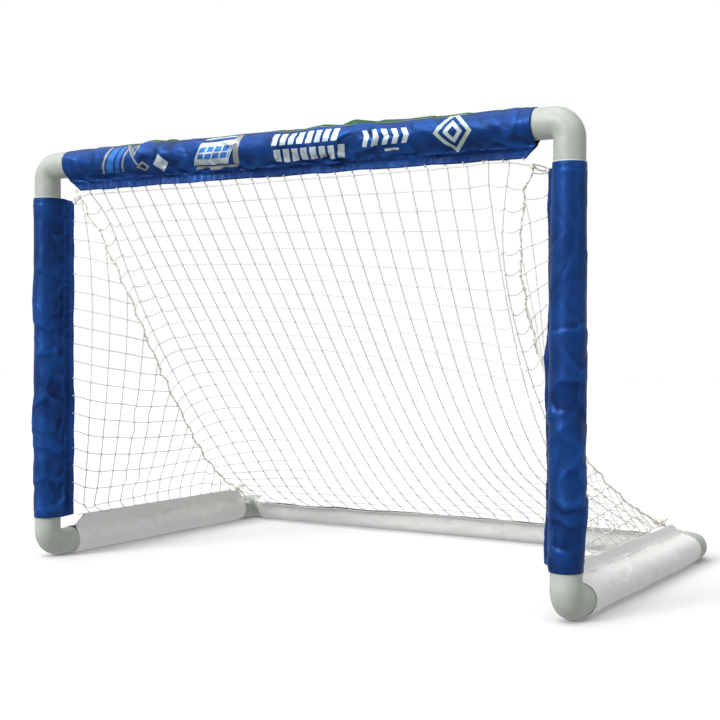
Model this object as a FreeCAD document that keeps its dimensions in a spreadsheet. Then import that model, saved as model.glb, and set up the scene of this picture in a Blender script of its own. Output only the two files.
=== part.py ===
import FreeCAD, Part
import math
import os
import Sketcher

# Small goal for ice or floor hockey: six push-fit tubes joined by six elbows,
# padded cloth sleeves with sewing flaps, and a loose square-mesh net.
# +X runs along the crossbar, +Y from the mouth to the back, +Z up.
# The origin is on the floor at the middle of the goal.

os.makedirs("parts", exist_ok=True)
doc = FreeCAD.newDocument("hockey_goal_net")
sheet = doc.addObject("Spreadsheet::Sheet", "sizes")

# Driving sizes in millimetres and degrees.
DRIVING = [
    ("overall_width", 732.0),
    ("overall_depth", 472.0),
    ("overall_height", 508.0),
    ("tube_outer", 32.0),
    ("tube_wall", 2.0),
    ("cloth_gap", 0.3),
    ("cloth_thick", 0.6),
    ("elbow_leg", 38.0),
    ("elbow_inner_round", 1.0),
    ("elbow_bore", 23.0),
    ("spigot_length", 26.0),
    ("spigot_clearance", 0.3),
    ("spigot_chamfer", 1.0),
    ("shoulder_gap", 0.2),
    ("sleeve_step", 2.0),
    ("post_sleeve_overlap", 4.0),
    ("rear_sleeve_overlap", 15.0),
    ("flap_thick", 1.4),
    ("crossbar_flap_reach", 33.0),
    ("post_flap_reach", 33.0),
    ("rail_flap_reach", 36.0),
    ("rear_flap_reach", 33.0),
    ("flap_end_cut", 10.0),
    ("post_flap_turn", 60.0),
    ("rail_flap_tilt", 65.0),
    ("rear_flap_tilt", 28.0),
    ("net_thick", 1.5),
    ("net_edge_gap", 0.8),
    ("seam_cord_size", 3.0),
    ("seam_top_inset", 42.0),
    ("seam_foot_inset", 22.0),
    ("seam_pull", 50.0),
    ("seam_top_back", 6.0),
    ("seam_lean", 110.0),
    ("seam_sweep", 190.0),
    ("seam_tail_share", 0.855),
    ("seam_foot_lift", 31.0),
    ("net_belly", 12.0),
    ("tie_cord_size", 2.2),
    ("tie_knot_size", 5.0),
    ("hitch_turn", 30.0),
]
# Sizes that follow from the driving ones.
FOLLOWING = [
    ("tube_radius", "tube_outer / 2"),
    ("tube_bore", "tube_outer / 2 - tube_wall"),
    ("elbow_bend", "tube_radius + elbow_inner_round"),
    ("sleeve_inner", "tube_radius + cloth_gap"),
    ("sleeve_outer", "sleeve_inner + cloth_thick"),
    ("flap_root", "sleeve_inner + cloth_thick / 3"),
    ("post_x", "overall_width / 2 - sleeve_outer"),
    ("front_y", "sleeve_outer - overall_depth / 2"),
    ("rear_y", "overall_depth / 2 - sleeve_outer"),
    ("base_z", "sleeve_outer"),
    ("top_z", "overall_height - sleeve_outer"),
    ("tube_start", "elbow_leg + shoulder_gap"),
    ("crossbar_length", "2 * (post_x - tube_start)"),
    ("post_length", "top_z - base_z - 2 * tube_start"),
    ("rail_length", "rear_y - front_y - 2 * tube_start"),
    ("spigot_radius", "tube_bore - spigot_clearance"),
    ("spigot_end", "elbow_leg + spigot_length"),
    ("sleeve_start", "elbow_leg + sleeve_step"),
    ("crossbar_sleeve_length", "2 * (post_x - sleeve_start)"),
    ("post_sleeve_foot", "base_z + elbow_leg - post_sleeve_overlap"),
    ("post_sleeve_length", "top_z - sleeve_start - post_sleeve_foot"),
    ("rail_sleeve_length", "rear_y - front_y - 2 * sleeve_start"),
    ("rear_sleeve_start", "elbow_leg - rear_sleeve_overlap"),
    ("rear_sleeve_length", "2 * (post_x - rear_sleeve_start)"),
]

row = 1
for name, value in DRIVING:
    sheet.set("A%d" % row, name)
    sheet.set("B%d" % row, str(value))
    sheet.setAlias("B%d" % row, name)
    row += 1
for name, formula in FOLLOWING:
    sheet.set("A%d" % row, name)
    sheet.set("B%d" % row, "=" + formula)
    sheet.setAlias("B%d" % row, name)
    row += 1
doc.recompute()

X = FreeCAD.Vector(1, 0, 0)
Y = FreeCAD.Vector(0, 1, 0)
Z = FreeCAD.Vector(0, 0, 1)


def size(name):
    """Value of one cell of the sheet."""
    return float(sheet.get(name))


def cell(name):
    """Expression that follows one cell of the sheet."""
    return "sizes." + name


def new_body(node):
    """Empty body whose label names its file."""
    body = doc.addObject("PartDesign::Body", node)
    body.Label = node
    return body


def new_sketch(body, name, role, offset=None):
    """Sketch on one origin plane of the body, moved along its normal."""
    sketch = body.newObject("Sketcher::SketchObject", body.Name + "_" + name)
    plane = [f for f in body.Origin.OriginFeatures if f.Role == role][0]
    sketch.AttachmentSupport = (plane, [""])
    sketch.MapMode = "FlatFace"
    if offset:
        sketch.setExpression("AttachmentOffset.Base.z", offset)
    return sketch


def add_circle(sketch, radius):
    """Circle round the sketch origin whose radius follows an expression."""
    start_radius = 10.0
    circle = Part.Circle(FreeCAD.Vector(), Z, start_radius)
    index = sketch.addGeometry(circle, False)
    sketch.addConstraint(Sketcher.Constraint("Coincident", index, 3, -1, 1))
    number = sketch.addConstraint(Sketcher.Constraint("Radius", index, start_radius))
    sketch.setExpression("Constraints[%d]" % number, radius)


def add_polygon(sketch, corners):
    """Closed outline; each corner is a pair (expression, value) for x and y."""
    points = [FreeCAD.Vector(x[1], y[1], 0) for x, y in corners]
    count = len(points)
    for i in range(count):
        edge = Part.LineSegment(points[i], points[(i + 1) % count])
        sketch.addGeometry(edge, False)
    for i in range(count):
        sketch.addConstraint(Sketcher.Constraint("Coincident", i, 2, (i + 1) % count, 1))
    for i in range(count):
        for kind, (formula, value) in zip(("DistanceX", "DistanceY"), corners[i]):
            number = sketch.addConstraint(Sketcher.Constraint(kind, -1, 1, i, 1, value))
            sketch.setExpression("Constraints[%d]" % number, formula)


def pad(body, sketch, name, length, symmetric=False):
    """Pad of a sketch whose length follows an expression."""
    feature = body.newObject("PartDesign::Pad", body.Name + "_" + name)
    feature.Profile = sketch
    if symmetric:
        feature.SideType = "Symmetric"
    feature.setExpression("Length", length)
    sketch.Visibility = False
    return feature


def put(body, x, y, z, along, across):
    """Place a body: its X axis goes along, its Y axis goes across."""
    rotation = FreeCAD.Rotation(along, across, along.cross(across), "XYZ")
    body.Placement = FreeCAD.Placement(FreeCAD.Vector(), rotation)
    body.setExpression("Placement.Base.x", x)
    body.setExpression("Placement.Base.y", y)
    body.setExpression("Placement.Base.z", z)


# ---------------------------------------------------------------- tubes
def tube(node, length, x, y, z, along, across):
    """Straight push-fit tube."""
    body = new_body(node)
    ring = new_sketch(body, "ring", "YZ_Plane")
    add_circle(ring, cell("tube_radius"))
    add_circle(ring, cell("tube_bore"))
    pad(body, ring, "wall", cell(length))
    put(body, x, y, z, along, across)


RIGHT = "sizes.post_x"
LEFT = "-sizes.post_x"
FRONT = "sizes.front_y"
REAR = "sizes.rear_y"
BASE = "sizes.base_z"
TOP = "sizes.top_z"
FRONT_START = "sizes.front_y + sizes.tube_start"
LEFT_START = "sizes.tube_start - sizes.post_x"
POST_START = "sizes.base_z + sizes.tube_start"

tube("crossbar_tube", "crossbar_length", LEFT_START, FRONT, TOP, X, Y)
tube("rear_bar_tube", "crossbar_length", LEFT_START, REAR, BASE, X, Y)
for side, post in (("left", LEFT), ("right", RIGHT)):
    tube(side + "_post_tube", "post_length", post, FRONT, POST_START, Z, X)
    tube(side + "_rail_tube", "rail_length", post, FRONT_START, BASE, Y, Z)


# ---------------------------------------------------------------- elbows
def elbow(node, x, y, z, first, second):
    """Right-angle elbow with a push-fit spigot inside each tube end."""
    body = new_body(node)
    path = new_sketch(body, "path", "XY_Plane")
    leg = size("elbow_leg")
    bend = size("elbow_bend")
    corner = FreeCAD.Vector(bend, bend, 0)
    path.addGeometry(Part.LineSegment(FreeCAD.Vector(leg, 0, 0), FreeCAD.Vector(bend, 0, 0)), False)
    turn = Part.ArcOfCircle(Part.Circle(corner, Z, bend), math.pi, 1.5 * math.pi)
    path.addGeometry(turn, False)
    path.addGeometry(Part.LineSegment(FreeCAD.Vector(0, bend, 0), FreeCAD.Vector(0, leg, 0)), False)
    path.addConstraint(Sketcher.Constraint("PointOnObject", 0, 1, -1))
    path.addConstraint(Sketcher.Constraint("PointOnObject", 2, 2, -2))
    path.addConstraint(Sketcher.Constraint("Horizontal", 0))
    path.addConstraint(Sketcher.Constraint("Vertical", 2))
    path.addConstraint(Sketcher.Constraint("Tangent", 0, 2, 1, 2))
    path.addConstraint(Sketcher.Constraint("Tangent", 1, 1, 2, 1))
    number = path.addConstraint(Sketcher.Constraint("Radius", 1, bend))
    path.setExpression("Constraints[%d]" % number, cell("elbow_bend"))
    number = path.addConstraint(Sketcher.Constraint("DistanceX", -1, 1, 0, 1, leg))
    path.setExpression("Constraints[%d]" % number, cell("elbow_leg"))
    number = path.addConstraint(Sketcher.Constraint("DistanceY", -1, 1, 2, 2, leg))
    path.setExpression("Constraints[%d]" % number, cell("elbow_leg"))
    section = new_sketch(body, "section", "YZ_Plane", cell("elbow_leg"))
    add_circle(section, cell("tube_radius"))
    add_circle(section, cell("elbow_bore") + " / 2")
    shell = body.newObject("PartDesign::AdditivePipe", body.Name + "_shell")
    shell.Profile = section
    shell.Spine = (path, ["Edge1", "Edge2", "Edge3"])
    doc.recompute()
    for name, role, offset in (
        ("first_spigot", "YZ_Plane", cell("elbow_leg")),
        ("second_spigot", "XZ_Plane", "-sizes.elbow_leg"),
    ):
        ring = new_sketch(body, name + "_ring", role, offset)
        add_circle(ring, cell("spigot_radius"))
        add_circle(ring, cell("elbow_bore") + " / 2")
        spigot = pad(body, ring, name, cell("spigot_length"))
        spigot.Reversed = role == "XZ_Plane"
    doc.recompute()
    rims = []
    reach = size("spigot_end")
    joined = body.Tip
    for number, edge in enumerate(joined.Shape.Edges, 1):
        middle = edge.BoundBox.Center
        at_end = abs(max(middle.x, middle.y) - reach) < 1e-3
        if at_end and edge.Closed and abs(edge.Curve.Radius - size("spigot_radius")) < 1e-3:
            rims.append("Edge%d" % number)
    chamfer = body.newObject("PartDesign::Chamfer", body.Name + "_lead_in")
    chamfer.Base = (joined, rims)
    chamfer.setExpression("Size", cell("spigot_chamfer"))
    put(body, x, y, z, first, second)


for side, post, inward in (("left", LEFT, X), ("right", RIGHT, -X)):
    elbow("top_%s_elbow" % side, post, FRONT, TOP, inward, -Z)
    elbow("front_%s_elbow" % side, post, FRONT, BASE, Z, Y)
    elbow("rear_%s_elbow" % side, post, REAR, BASE, -Y, inward)


# ---------------------------------------------------------------- sleeves
def sleeve(node, length, reach, x, y, z, along, outward):
    """Cloth tunnel round a tube with a flat two-layer sewing flap."""
    body = new_body(node)
    ring = new_sketch(body, "ring", "YZ_Plane")
    add_circle(ring, cell("sleeve_outer"))
    add_circle(ring, cell("sleeve_inner"))
    pad(body, ring, "tunnel", cell(length))
    outline = new_sketch(body, "flap_outline", "XY_Plane")
    long_edge = size(length)
    cut = size("flap_end_cut")
    root = (cell("flap_root"), size("flap_root"))
    tip = (cell(reach), size(reach))
    add_polygon(outline, [
        ((cell("cloth_thick"), size("cloth_thick")), root),
        ((cell(length) + " - sizes.cloth_thick", long_edge - size("cloth_thick")), root),
        ((cell(length) + " - sizes.flap_end_cut", long_edge - cut), tip),
        ((cell("flap_end_cut"), cut), tip),
    ])
    pad(body, outline, "flap", cell("flap_thick"), True)
    put(body, x, y, z, along, outward)


def slanted(first, first_share, second, second_share):
    """Direction made of two parts."""
    return first * first_share + second * second_share


POST_TURN = math.radians(size("post_flap_turn"))
RAIL_TILT = math.radians(size("rail_flap_tilt"))
REAR_TILT = math.radians(size("rear_flap_tilt"))

sleeve(
    "crossbar_sleeve", "crossbar_sleeve_length", "crossbar_flap_reach",
    "sizes.sleeve_start - sizes.post_x", FRONT, TOP, X, -Z,
)
rear_flap_way = slanted(-Y, math.cos(REAR_TILT), Z, math.sin(REAR_TILT))
sleeve(
    "rear_bar_sleeve", "rear_sleeve_length", "rear_flap_reach",
    "sizes.rear_sleeve_start - sizes.post_x", REAR, BASE, X, rear_flap_way,
)
post_flap_way = {}
rail_flap_way = {}
for side, post, inward in (("left", LEFT, X), ("right", RIGHT, -X)):
    post_flap_way[side] = slanted(inward, math.sin(POST_TURN), Y, math.cos(POST_TURN))
    rail_flap_way[side] = slanted(inward, math.cos(RAIL_TILT), Z, math.sin(RAIL_TILT))
    sleeve(
        side + "_post_sleeve", "post_sleeve_length", "post_flap_reach",
        post, FRONT, "sizes.post_sleeve_foot", Z, post_flap_way[side],
    )
    sleeve(
        side + "_rail_sleeve", "rail_sleeve_length", "rail_flap_reach",
        post, "sizes.front_y + sizes.sleeve_start", BASE, Y, rail_flap_way[side],
    )


# ---------------------------------------------------------------- net
# The net is three loose panels.  The back panel hangs from the crossbar flap
# and sweeps down to the rear flap; each side panel fills in from its post and
# rail flaps.  Back and side meet at a laced seam that is pulled inwards.
SEAM_TAIL_POWER = 10
SEAM_PULL_POWER = 2.5
SEAM_STEPS = 24


def corner_side(side):
    """+1 for the right side and -1 for the left side."""
    return 1.0 if side == "right" else -1.0


def seam_point(side, share):
    """Point on the laced seam; share is 0 at the top and 1 at the foot."""
    foot_z = size("base_z") + size("seam_foot_lift")
    start_z = size("top_z") - size("crossbar_flap_reach") - size("net_edge_gap")
    run = size("rear_y") - size("front_y")
    tail = run * size("seam_tail_share") - size("seam_top_back") - size("seam_lean") - size("seam_sweep")
    back = size("seam_top_back") + size("seam_lean") * share + size("seam_sweep") * share ** 2
    back += tail * share ** SEAM_TAIL_POWER
    inset = size("seam_top_inset") * (1 - share) + size("seam_foot_inset") * share
    inset += size("seam_pull") * (1 - abs(2 * share - 1) ** SEAM_PULL_POWER)
    x = corner_side(side) * (size("post_x") - inset)
    z = start_z + (foot_z - start_z) * share
    return FreeCAD.Vector(x, size("front_y") + back, z)


def seam_way(side, share):
    """Unit direction of the seam, pointing down."""
    step = 0.01
    ahead = seam_point(side, min(1.0, share + step))
    behind = seam_point(side, max(0.0, share - step))
    return (ahead - behind).normalize()


def beside_seam(side, share, towards):
    """Point just clear of the seam cord on the side of another point."""
    centre = seam_point(side, share)
    way = seam_way(side, share)
    reach = towards - centre
    reach = reach - way * reach.dot(way)
    return centre + reach.normalize() * (size("seam_cord_size") / 2 + size("net_edge_gap"))


def strip(start, end, bulge, face_way):
    """Thin closed outline from start to end, bulging and facing one way."""
    chord = (end - start).normalize()
    face = (face_way - chord * face_way.dot(chord)).normalize()
    half = face * (size("net_thick") / 2)
    curves = []
    for offset in (half, -half):
        points = []
        for share in (0.0, 0.25, 0.5, 0.75, 1.0):
            swell = 4 * share * (1 - share)
            points.append(start + (end - start) * share + face * (bulge * swell) + offset)
        curve = Part.BSplineCurve()
        curve.interpolate(points)
        curves.append((curve.toShape(), points))
    near, far = curves
    first = Part.makeLine(far[1][0], near[1][0])
    last = Part.makeLine(near[1][-1], far[1][-1])
    return Part.Wire([near[0], last, far[0], first])


def part_feature(node, shape):
    """Document object for a free-form piece."""
    feature = doc.addObject("Part::Feature", node)
    feature.Label = node
    feature.Shape = shape
    feature.Placement = FreeCAD.Placement()
    return feature


SEAM_SHARES = [i / SEAM_STEPS for i in range(SEAM_STEPS + 1)]
BACK_SHARES = SEAM_SHARES[1:-1]

# Back panel: one strip per height between the two seams.
strips = []
top_edge = size("top_z") - size("crossbar_flap_reach") - size("net_edge_gap")
half_top = size("crossbar_sleeve_length") / 2 - size("flap_end_cut")
strips.append(strip(
    FreeCAD.Vector(-half_top, size("front_y"), top_edge),
    FreeCAD.Vector(half_top, size("front_y"), top_edge),
    0.0, Y,
))
for share in BACK_SHARES:
    left = seam_point("left", share)
    right = seam_point("right", share)
    way = seam_way("right", share)
    face_way = X.cross(FreeCAD.Vector(0, way.y, way.z)).normalize()
    swell = size("net_belly") * math.sin(math.pi * share)
    strips.append(strip(
        beside_seam("left", share, right), beside_seam("right", share, left),
        swell, face_way,
    ))
foot_reach = size("rear_flap_reach") + size("net_edge_gap")
foot_edge = rear_flap_way * foot_reach
half_foot = size("rear_sleeve_length") / 2 - size("flap_end_cut")
foot_face = X.cross(-rear_flap_way)
strips.append(strip(
    FreeCAD.Vector(-half_foot, size("rear_y") + foot_edge.y, size("base_z") + foot_edge.z),
    FreeCAD.Vector(half_foot, size("rear_y") + foot_edge.y, size("base_z") + foot_edge.z),
    0.0, foot_face,
))
part_feature("net_back_panel", Part.makeLoft(strips, True, True))

# Side panels: one strip per height from the post flap to the seam.
for side in ("left", "right"):
    hand = corner_side(side)
    post_foot = FreeCAD.Vector(hand * size("post_x"), size("front_y"), 0)
    post_edge = post_foot + post_flap_way[side] * (size("post_flap_reach") + size("net_edge_gap"))
    strips = []
    for share in SEAM_SHARES[3:-1]:
        seam_spot = seam_point(side, share)
        start = FreeCAD.Vector(post_edge.x, post_edge.y, seam_spot.z)
        end = beside_seam(side, share, start)
        chord = end - start
        face_way = Z.cross(chord) * hand
        strips.append(strip(start, end, 0.0, face_way))
    rail_edge = rail_flap_way[side] * (size("rail_flap_reach") + size("net_edge_gap"))
    foot_x = hand * size("post_x") + rail_edge.x
    foot_z = size("base_z") + rail_edge.z
    foot_start = size("front_y") + size("sleeve_start") + size("flap_end_cut")
    foot_end = seam_point(side, 1.0).y - 2 * size("tie_knot_size")
    foot_face = Y.cross(rail_flap_way[side]) * hand
    strips.append(strip(
        FreeCAD.Vector(foot_x, foot_start, foot_z),
        FreeCAD.Vector(foot_x, foot_end, foot_z),
        0.0, foot_face,
    ))
    part_feature("net_%s_side_panel" % side, Part.makeLoft(strips, True, True))


# ---------------------------------------------------------------- cords
def round_cord(points, thickness):
    """Cord of one thickness along a smooth line through the points."""
    curve = Part.BSplineCurve()
    curve.interpolate(points)
    spine = Part.Wire(curve.toShape())
    start = curve.value(curve.FirstParameter)
    way = FreeCAD.Vector(curve.tangent(curve.FirstParameter)[0])
    ring = Part.Wire(Part.Circle(start, way, thickness / 2).toShape())
    return spine.makePipeShell([ring], True, False)


for side in ("left", "right"):
    hand = corner_side(side)
    route = [seam_point(side, share) for share in SEAM_SHARES]
    seam = round_cord(route, size("seam_cord_size"))
    part_feature("%s_seam_cord" % side, seam)

    # Tie from the top of the seam to the top of the post flap.
    knot = size("tie_knot_size") / 2
    clear = size("cloth_gap")
    seam_top = seam_point(side, 0.0)
    near_knot = seam_top + FreeCAD.Vector(hand * (size("seam_cord_size") / 2 + knot), 0, 0)
    post_knot = FreeCAD.Vector(hand * size("post_x"), size("front_y"), 0)
    post_knot += post_flap_way[side] * (size("post_flap_reach") + knot + clear)
    post_knot.z = size("top_z") - size("sleeve_start") - size("flap_end_cut")
    sag = FreeCAD.Vector(0, 0, -size("tie_cord_size"))
    middle = (near_knot + post_knot) * 0.5 + sag
    tie = round_cord([near_knot, middle, post_knot], size("tie_cord_size"))
    for spot in (near_knot, post_knot):
        tie = tie.fuse(Part.makeSphere(knot, spot))
    part_feature("top_%s_tie" % side, tie.removeSplitter())

    # Tie from the foot of the seam to a knot seated on the leg of the rear elbow.
    foot_knot = seam_point(side, 1.0) + seam_way(side, 1.0) * knot
    hitch_turn = math.radians(size("hitch_turn"))
    hitch_reach = size("tube_radius") + knot + clear
    hitch = FreeCAD.Vector(
        hand * (size("post_x") - math.cos(hitch_turn) * hitch_reach),
        size("rear_y") - size("elbow_leg") + knot,
        size("base_z") + math.sin(hitch_turn) * hitch_reach,
    )
    lift = FreeCAD.Vector(-hand * size("tie_cord_size"), 0, 0)
    middle = (foot_knot + hitch) * 0.5 + lift
    tie = round_cord([foot_knot, middle, hitch], size("tie_cord_size"))
    for spot in (foot_knot, hitch):
        tie = tie.fuse(Part.makeSphere(knot, spot))
    part_feature("rear_%s_tie" % side, tie.removeSplitter())

doc.recompute()

# ---------------------------------------------------------------- files
for item in doc.Objects:
    if "Invalid" in item.State or "Error" in item.State:
        raise RuntimeError("%s is in state %s" % (item.Label, item.State))
pieces = [item for item in doc.Objects if item.TypeId in ("PartDesign::Body", "Part::Feature")]
for piece in pieces:
    shape = piece.Shape
    if shape.isNull() or not shape.isValid() or len(shape.Solids) != 1:
        raise RuntimeError("%s has no single valid solid" % piece.Label)
for piece in pieces:
    piece.Shape.exportStep("parts/%s.step" % piece.Label)
    box = piece.Shape.BoundBox
    print(piece.Label, [round(v, 1) for v in (box.XMin, box.XMax, box.YMin, box.YMax, box.ZMin, box.ZMax)])
print(len(pieces), "pieces")
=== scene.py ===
# %% [markdown]
# # A small hockey goal
# The goal is a tube frame in cloth sleeves with a loose square-mesh net.
# The tubes and elbows come from the CAD model as they are and only get a finish.
# Everything soft - sleeves, net, cords and ties - is modelled here in its place.

# %% Load the frame
import math

import bpy
import numpy as np
from mathutils import Matrix, Vector


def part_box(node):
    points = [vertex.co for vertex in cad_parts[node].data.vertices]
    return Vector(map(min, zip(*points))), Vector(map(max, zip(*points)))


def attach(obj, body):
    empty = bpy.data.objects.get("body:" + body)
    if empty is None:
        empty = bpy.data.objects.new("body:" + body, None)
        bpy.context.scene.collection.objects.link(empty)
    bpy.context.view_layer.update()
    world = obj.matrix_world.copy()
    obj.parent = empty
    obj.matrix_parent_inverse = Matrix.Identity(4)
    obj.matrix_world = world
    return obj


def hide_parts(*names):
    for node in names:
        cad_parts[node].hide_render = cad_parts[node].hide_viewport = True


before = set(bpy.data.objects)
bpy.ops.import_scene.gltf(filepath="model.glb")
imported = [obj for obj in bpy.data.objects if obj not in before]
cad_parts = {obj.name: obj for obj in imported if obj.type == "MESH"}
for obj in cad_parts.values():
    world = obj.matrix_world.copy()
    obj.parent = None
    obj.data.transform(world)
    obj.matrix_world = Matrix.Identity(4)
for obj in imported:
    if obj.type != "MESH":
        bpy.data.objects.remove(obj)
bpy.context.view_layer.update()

# %% [markdown]
# ## Where things are
# Places start from the boxes of the CAD nodes, so the soft pieces follow the
# frame when its sizes change a little. Lengths are in metres.

# %% Axes of the tubes


def middle(node):
    """Centre of a CAD node's box."""
    low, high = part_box(node)
    return (low + high) / 2


POST_X = middle("right_post_tube").x
FRONT_Y = middle("crossbar_tube").y
REAR_Y = middle("rear_bar_tube").y
TOP_Z = middle("crossbar_tube").z
BASE_Z = middle("rear_bar_tube").z
low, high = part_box("right_post_tube")
TUBE_R = (high.x - low.x) / 2
SLEEVE_R = TUBE_R + 0.0007
print("post x", round(POST_X, 4), "front", round(FRONT_Y, 4), "rear", round(REAR_Y, 4))

# %% [markdown]
# ## Shader maths in plain sums
# A socket wrapped in this small class can be added, multiplied and compared
# like a number, and each sum adds its Math node. Anything else, such as a noise,
# comes from one method that makes a node of any type. This keeps a
# material readable, where a long list of links would hide what it does.

# %% A class for sockets and one for a material


class Value:
    """A number that varies over a surface."""

    def __init__(self, finish, socket):
        self.finish = finish
        self.socket = socket

    def math(self, operation, *others):
        node = self.finish.tree.nodes.new("ShaderNodeMath")
        node.operation = operation
        for place, item in enumerate((self, *others)):
            self.finish.feed(node.inputs[place], item)
        return Value(self.finish, node.outputs[0])

    def __add__(self, other):
        return self.math("ADD", other)

    __radd__ = __add__

    def __sub__(self, other):
        return self.math("SUBTRACT", other)

    def __rsub__(self, other):
        return (self * -1) + other

    def __mul__(self, other):
        return self.math("MULTIPLY", other)

    __rmul__ = __mul__

    def __truediv__(self, other):
        return self.math("DIVIDE", other)

    def __gt__(self, other):
        return self.math("GREATER_THAN", other)

    def __lt__(self, other):
        return self.math("LESS_THAN", other)

    def size(self):
        return self.math("ABSOLUTE")

    def sine(self):
        return self.math("SINE")

    def repeat(self, length):
        """Distance into a pattern that repeats."""
        return self.math("FLOORED_MODULO", length)

    def between(self, low, high):
        """1 inside the range, 0 outside."""
        return (self > low) * (self < high)

    def ease(self, low, high):
        """Soft step from 0 at low to 1 at high."""
        return self.finish.node(
            "ShaderNodeMapRange", {"interpolation_type": "SMOOTHSTEP"},
            {"Value": self, "From Min": low, "From Max": high},
        )


class Finish:
    """A material on the Principled shader."""

    def __init__(self, name, **constants):
        self.material = bpy.data.materials.new(name)
        self.material.use_nodes = True
        self.tree = self.material.node_tree
        self.shader = self.tree.nodes["Principled BSDF"]
        for socket, value in constants.items():
            self.shader.inputs[socket.replace("_", " ")].default_value = value

    def feed(self, socket, item):
        """Put a value, a number or a colour into a socket."""
        if isinstance(item, Value):
            self.tree.links.new(item.socket, socket)
        else:
            socket.default_value = item

    def node(self, kind, settings=None, sockets=None, output=0):
        """Any other node: its settings first, then its sockets."""
        node = self.tree.nodes.new(kind)
        for name, value in (settings or {}).items():
            setattr(node, name, value)
        for name, item in (sockets or {}).items():
            self.feed(node.inputs[name], item)
        return Value(self, node.outputs[output])

    def place(self):
        """Position in the object's own space, as three numbers."""
        return self.node("ShaderNodeTexCoord", output=3)

    def cloth_place(self):
        """Cloth coordinates as one vector."""
        return self.node("ShaderNodeUVMap", {"uv_map": "cloth"})

    def uv(self):
        """Cloth coordinates in metres: along and across."""
        return self.parts(self.cloth_place())[:2]

    def parts(self, vector):
        """The x, y and z of a vector."""
        split = self.tree.nodes.new("ShaderNodeSeparateXYZ")
        self.feed(split.inputs[0], vector)
        return [Value(self, socket) for socket in split.outputs]

    def noise(self, vector, scale, detail):
        """Cloudy noise; a larger scale is finer."""
        return self.node("ShaderNodeTexNoise", {}, {"Vector": vector, "Scale": scale, "Detail": detail})

    def stretch(self, vector, amounts):
        """Vector multiplied part by part."""
        return self.node("ShaderNodeVectorMath", {"operation": "MULTIPLY"}, {0: vector, 1: amounts})

    def mix(self, share, first, second):
        """Blend of two colours."""
        node = self.tree.nodes.new("ShaderNodeMix")
        node.data_type = "RGBA"
        self.feed(node.inputs[0], share)
        self.feed(node.inputs[6], rgba(first))
        self.feed(node.inputs[7], rgba(second))
        return Value(self, node.outputs[2])

    def bump(self, height, distance, strength):
        """Small relief, in metres."""
        self.feed(self.shader.inputs["Normal"], self.node(
            "ShaderNodeBump", {}, {"Strength": strength, "Distance": distance, "Height": height},
        ))

    def set(self, socket, item):
        self.feed(self.shader.inputs[socket], item)


def rgba(colour):
    """A colour as four numbers, or a value as it is."""
    if isinstance(colour, Value):
        return colour
    return (*colour, 1.0)


# %% [markdown]
# ## Camera
# The camera stands in front of the goal and to its right, a little above half
# the goal's height, and looks across the mouth. A long lens keeps the posts nearly
# upright. Its distance is measured from the frame's own front axis.

# %% Set the camera
LENS_MM = 64.05
SENSOR_MM = 36.0
YAW = math.radians(31.26)
PITCH = math.radians(-1.12)
ROLL = math.radians(0.30)
CAMERA_X = 0.8249
CAMERA_DISTANCE = 1.1756
CAMERA_HEIGHT = 0.2820
camera_data = bpy.data.cameras.new("camera")
camera_data.lens = LENS_MM
camera_data.sensor_width = SENSOR_MM
camera_data.clip_end = 20.0
camera = bpy.data.objects.new("camera", camera_data)
bpy.context.scene.collection.objects.link(camera)
forward = Vector((-math.sin(YAW) * math.cos(PITCH), math.cos(YAW) * math.cos(PITCH), math.sin(PITCH)))
level = Vector((math.cos(YAW), math.sin(YAW), 0))
upward = level.cross(forward)
right = level * math.cos(ROLL) + upward * math.sin(ROLL)
upward = upward * math.cos(ROLL) - level * math.sin(ROLL)
turned = Matrix((right, upward, -forward)).transposed().to_4x4()
turned.translation = Vector((CAMERA_X, FRONT_Y - CAMERA_DISTANCE, CAMERA_HEIGHT))
camera.matrix_world = turned
bpy.context.scene.camera = camera
print("camera at", [round(v, 3) for v in camera.location])

# %% [markdown]
# ## Floor and light
# White twine and blue satin ask for opposite light: the twine needs a pure
# white ground behind it, and satin only looks like satin when dark and bright
# parts of the room lie side by side in it. So the room is white to look at but
# dim as a light. A wide sun overhead bleaches the floor, a narrower one from the
# front left draws the bright bands down the posts, and a weak lamp fills in from
# the right.

# %% Build the floor and the room
scene = bpy.context.scene
scene.view_settings.view_transform = "Standard"
scene.view_settings.look = "None"
ROOM_GLOW = 0.58
world = bpy.data.worlds.new("surroundings")
world.use_nodes = True
room = world.node_tree.nodes["Background"]
room.inputs["Color"].default_value = (1.0, 1.0, 1.0, 1.0)
seen = world.node_tree.nodes.new("ShaderNodeLightPath")
brightness = world.node_tree.nodes.new("ShaderNodeMath")
brightness.operation = "MULTIPLY_ADD"
brightness.inputs[1].default_value = 1.0 - ROOM_GLOW
brightness.inputs[2].default_value = ROOM_GLOW
world.node_tree.links.new(seen.outputs["Is Camera Ray"], brightness.inputs[0])
world.node_tree.links.new(brightness.outputs[0], room.inputs["Strength"])
scene.world = world

FLOOR_HALF = 6.0
floor_mesh = bpy.data.meshes.new("floor")
floor_mesh.from_pydata(
    [(x * FLOOR_HALF, y * FLOOR_HALF, 0.0) for x, y in ((-1, -1), (1, -1), (1, 1), (-1, 1))],
    [], [(0, 1, 2, 3)],
)
floor = bpy.data.objects.new("floor", floor_mesh)
scene.collection.objects.link(floor)
floor_finish = Finish("floor", Base_Color=(0.68, 0.68, 0.675, 1), Roughness=1.0, Specular_IOR_Level=0.1)
floor_mesh.materials.append(floor_finish.material)
floor.visible_diffuse = False
floor.visible_glossy = False

# %% Hang the lamps


def aim(light, place, target):
    """Put a lamp at a place and turn it to a target."""
    light.location = place
    light.rotation_euler = (Vector(target) - Vector(place)).to_track_quat("-Z", "Y").to_euler()
    scene.collection.objects.link(light)


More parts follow.
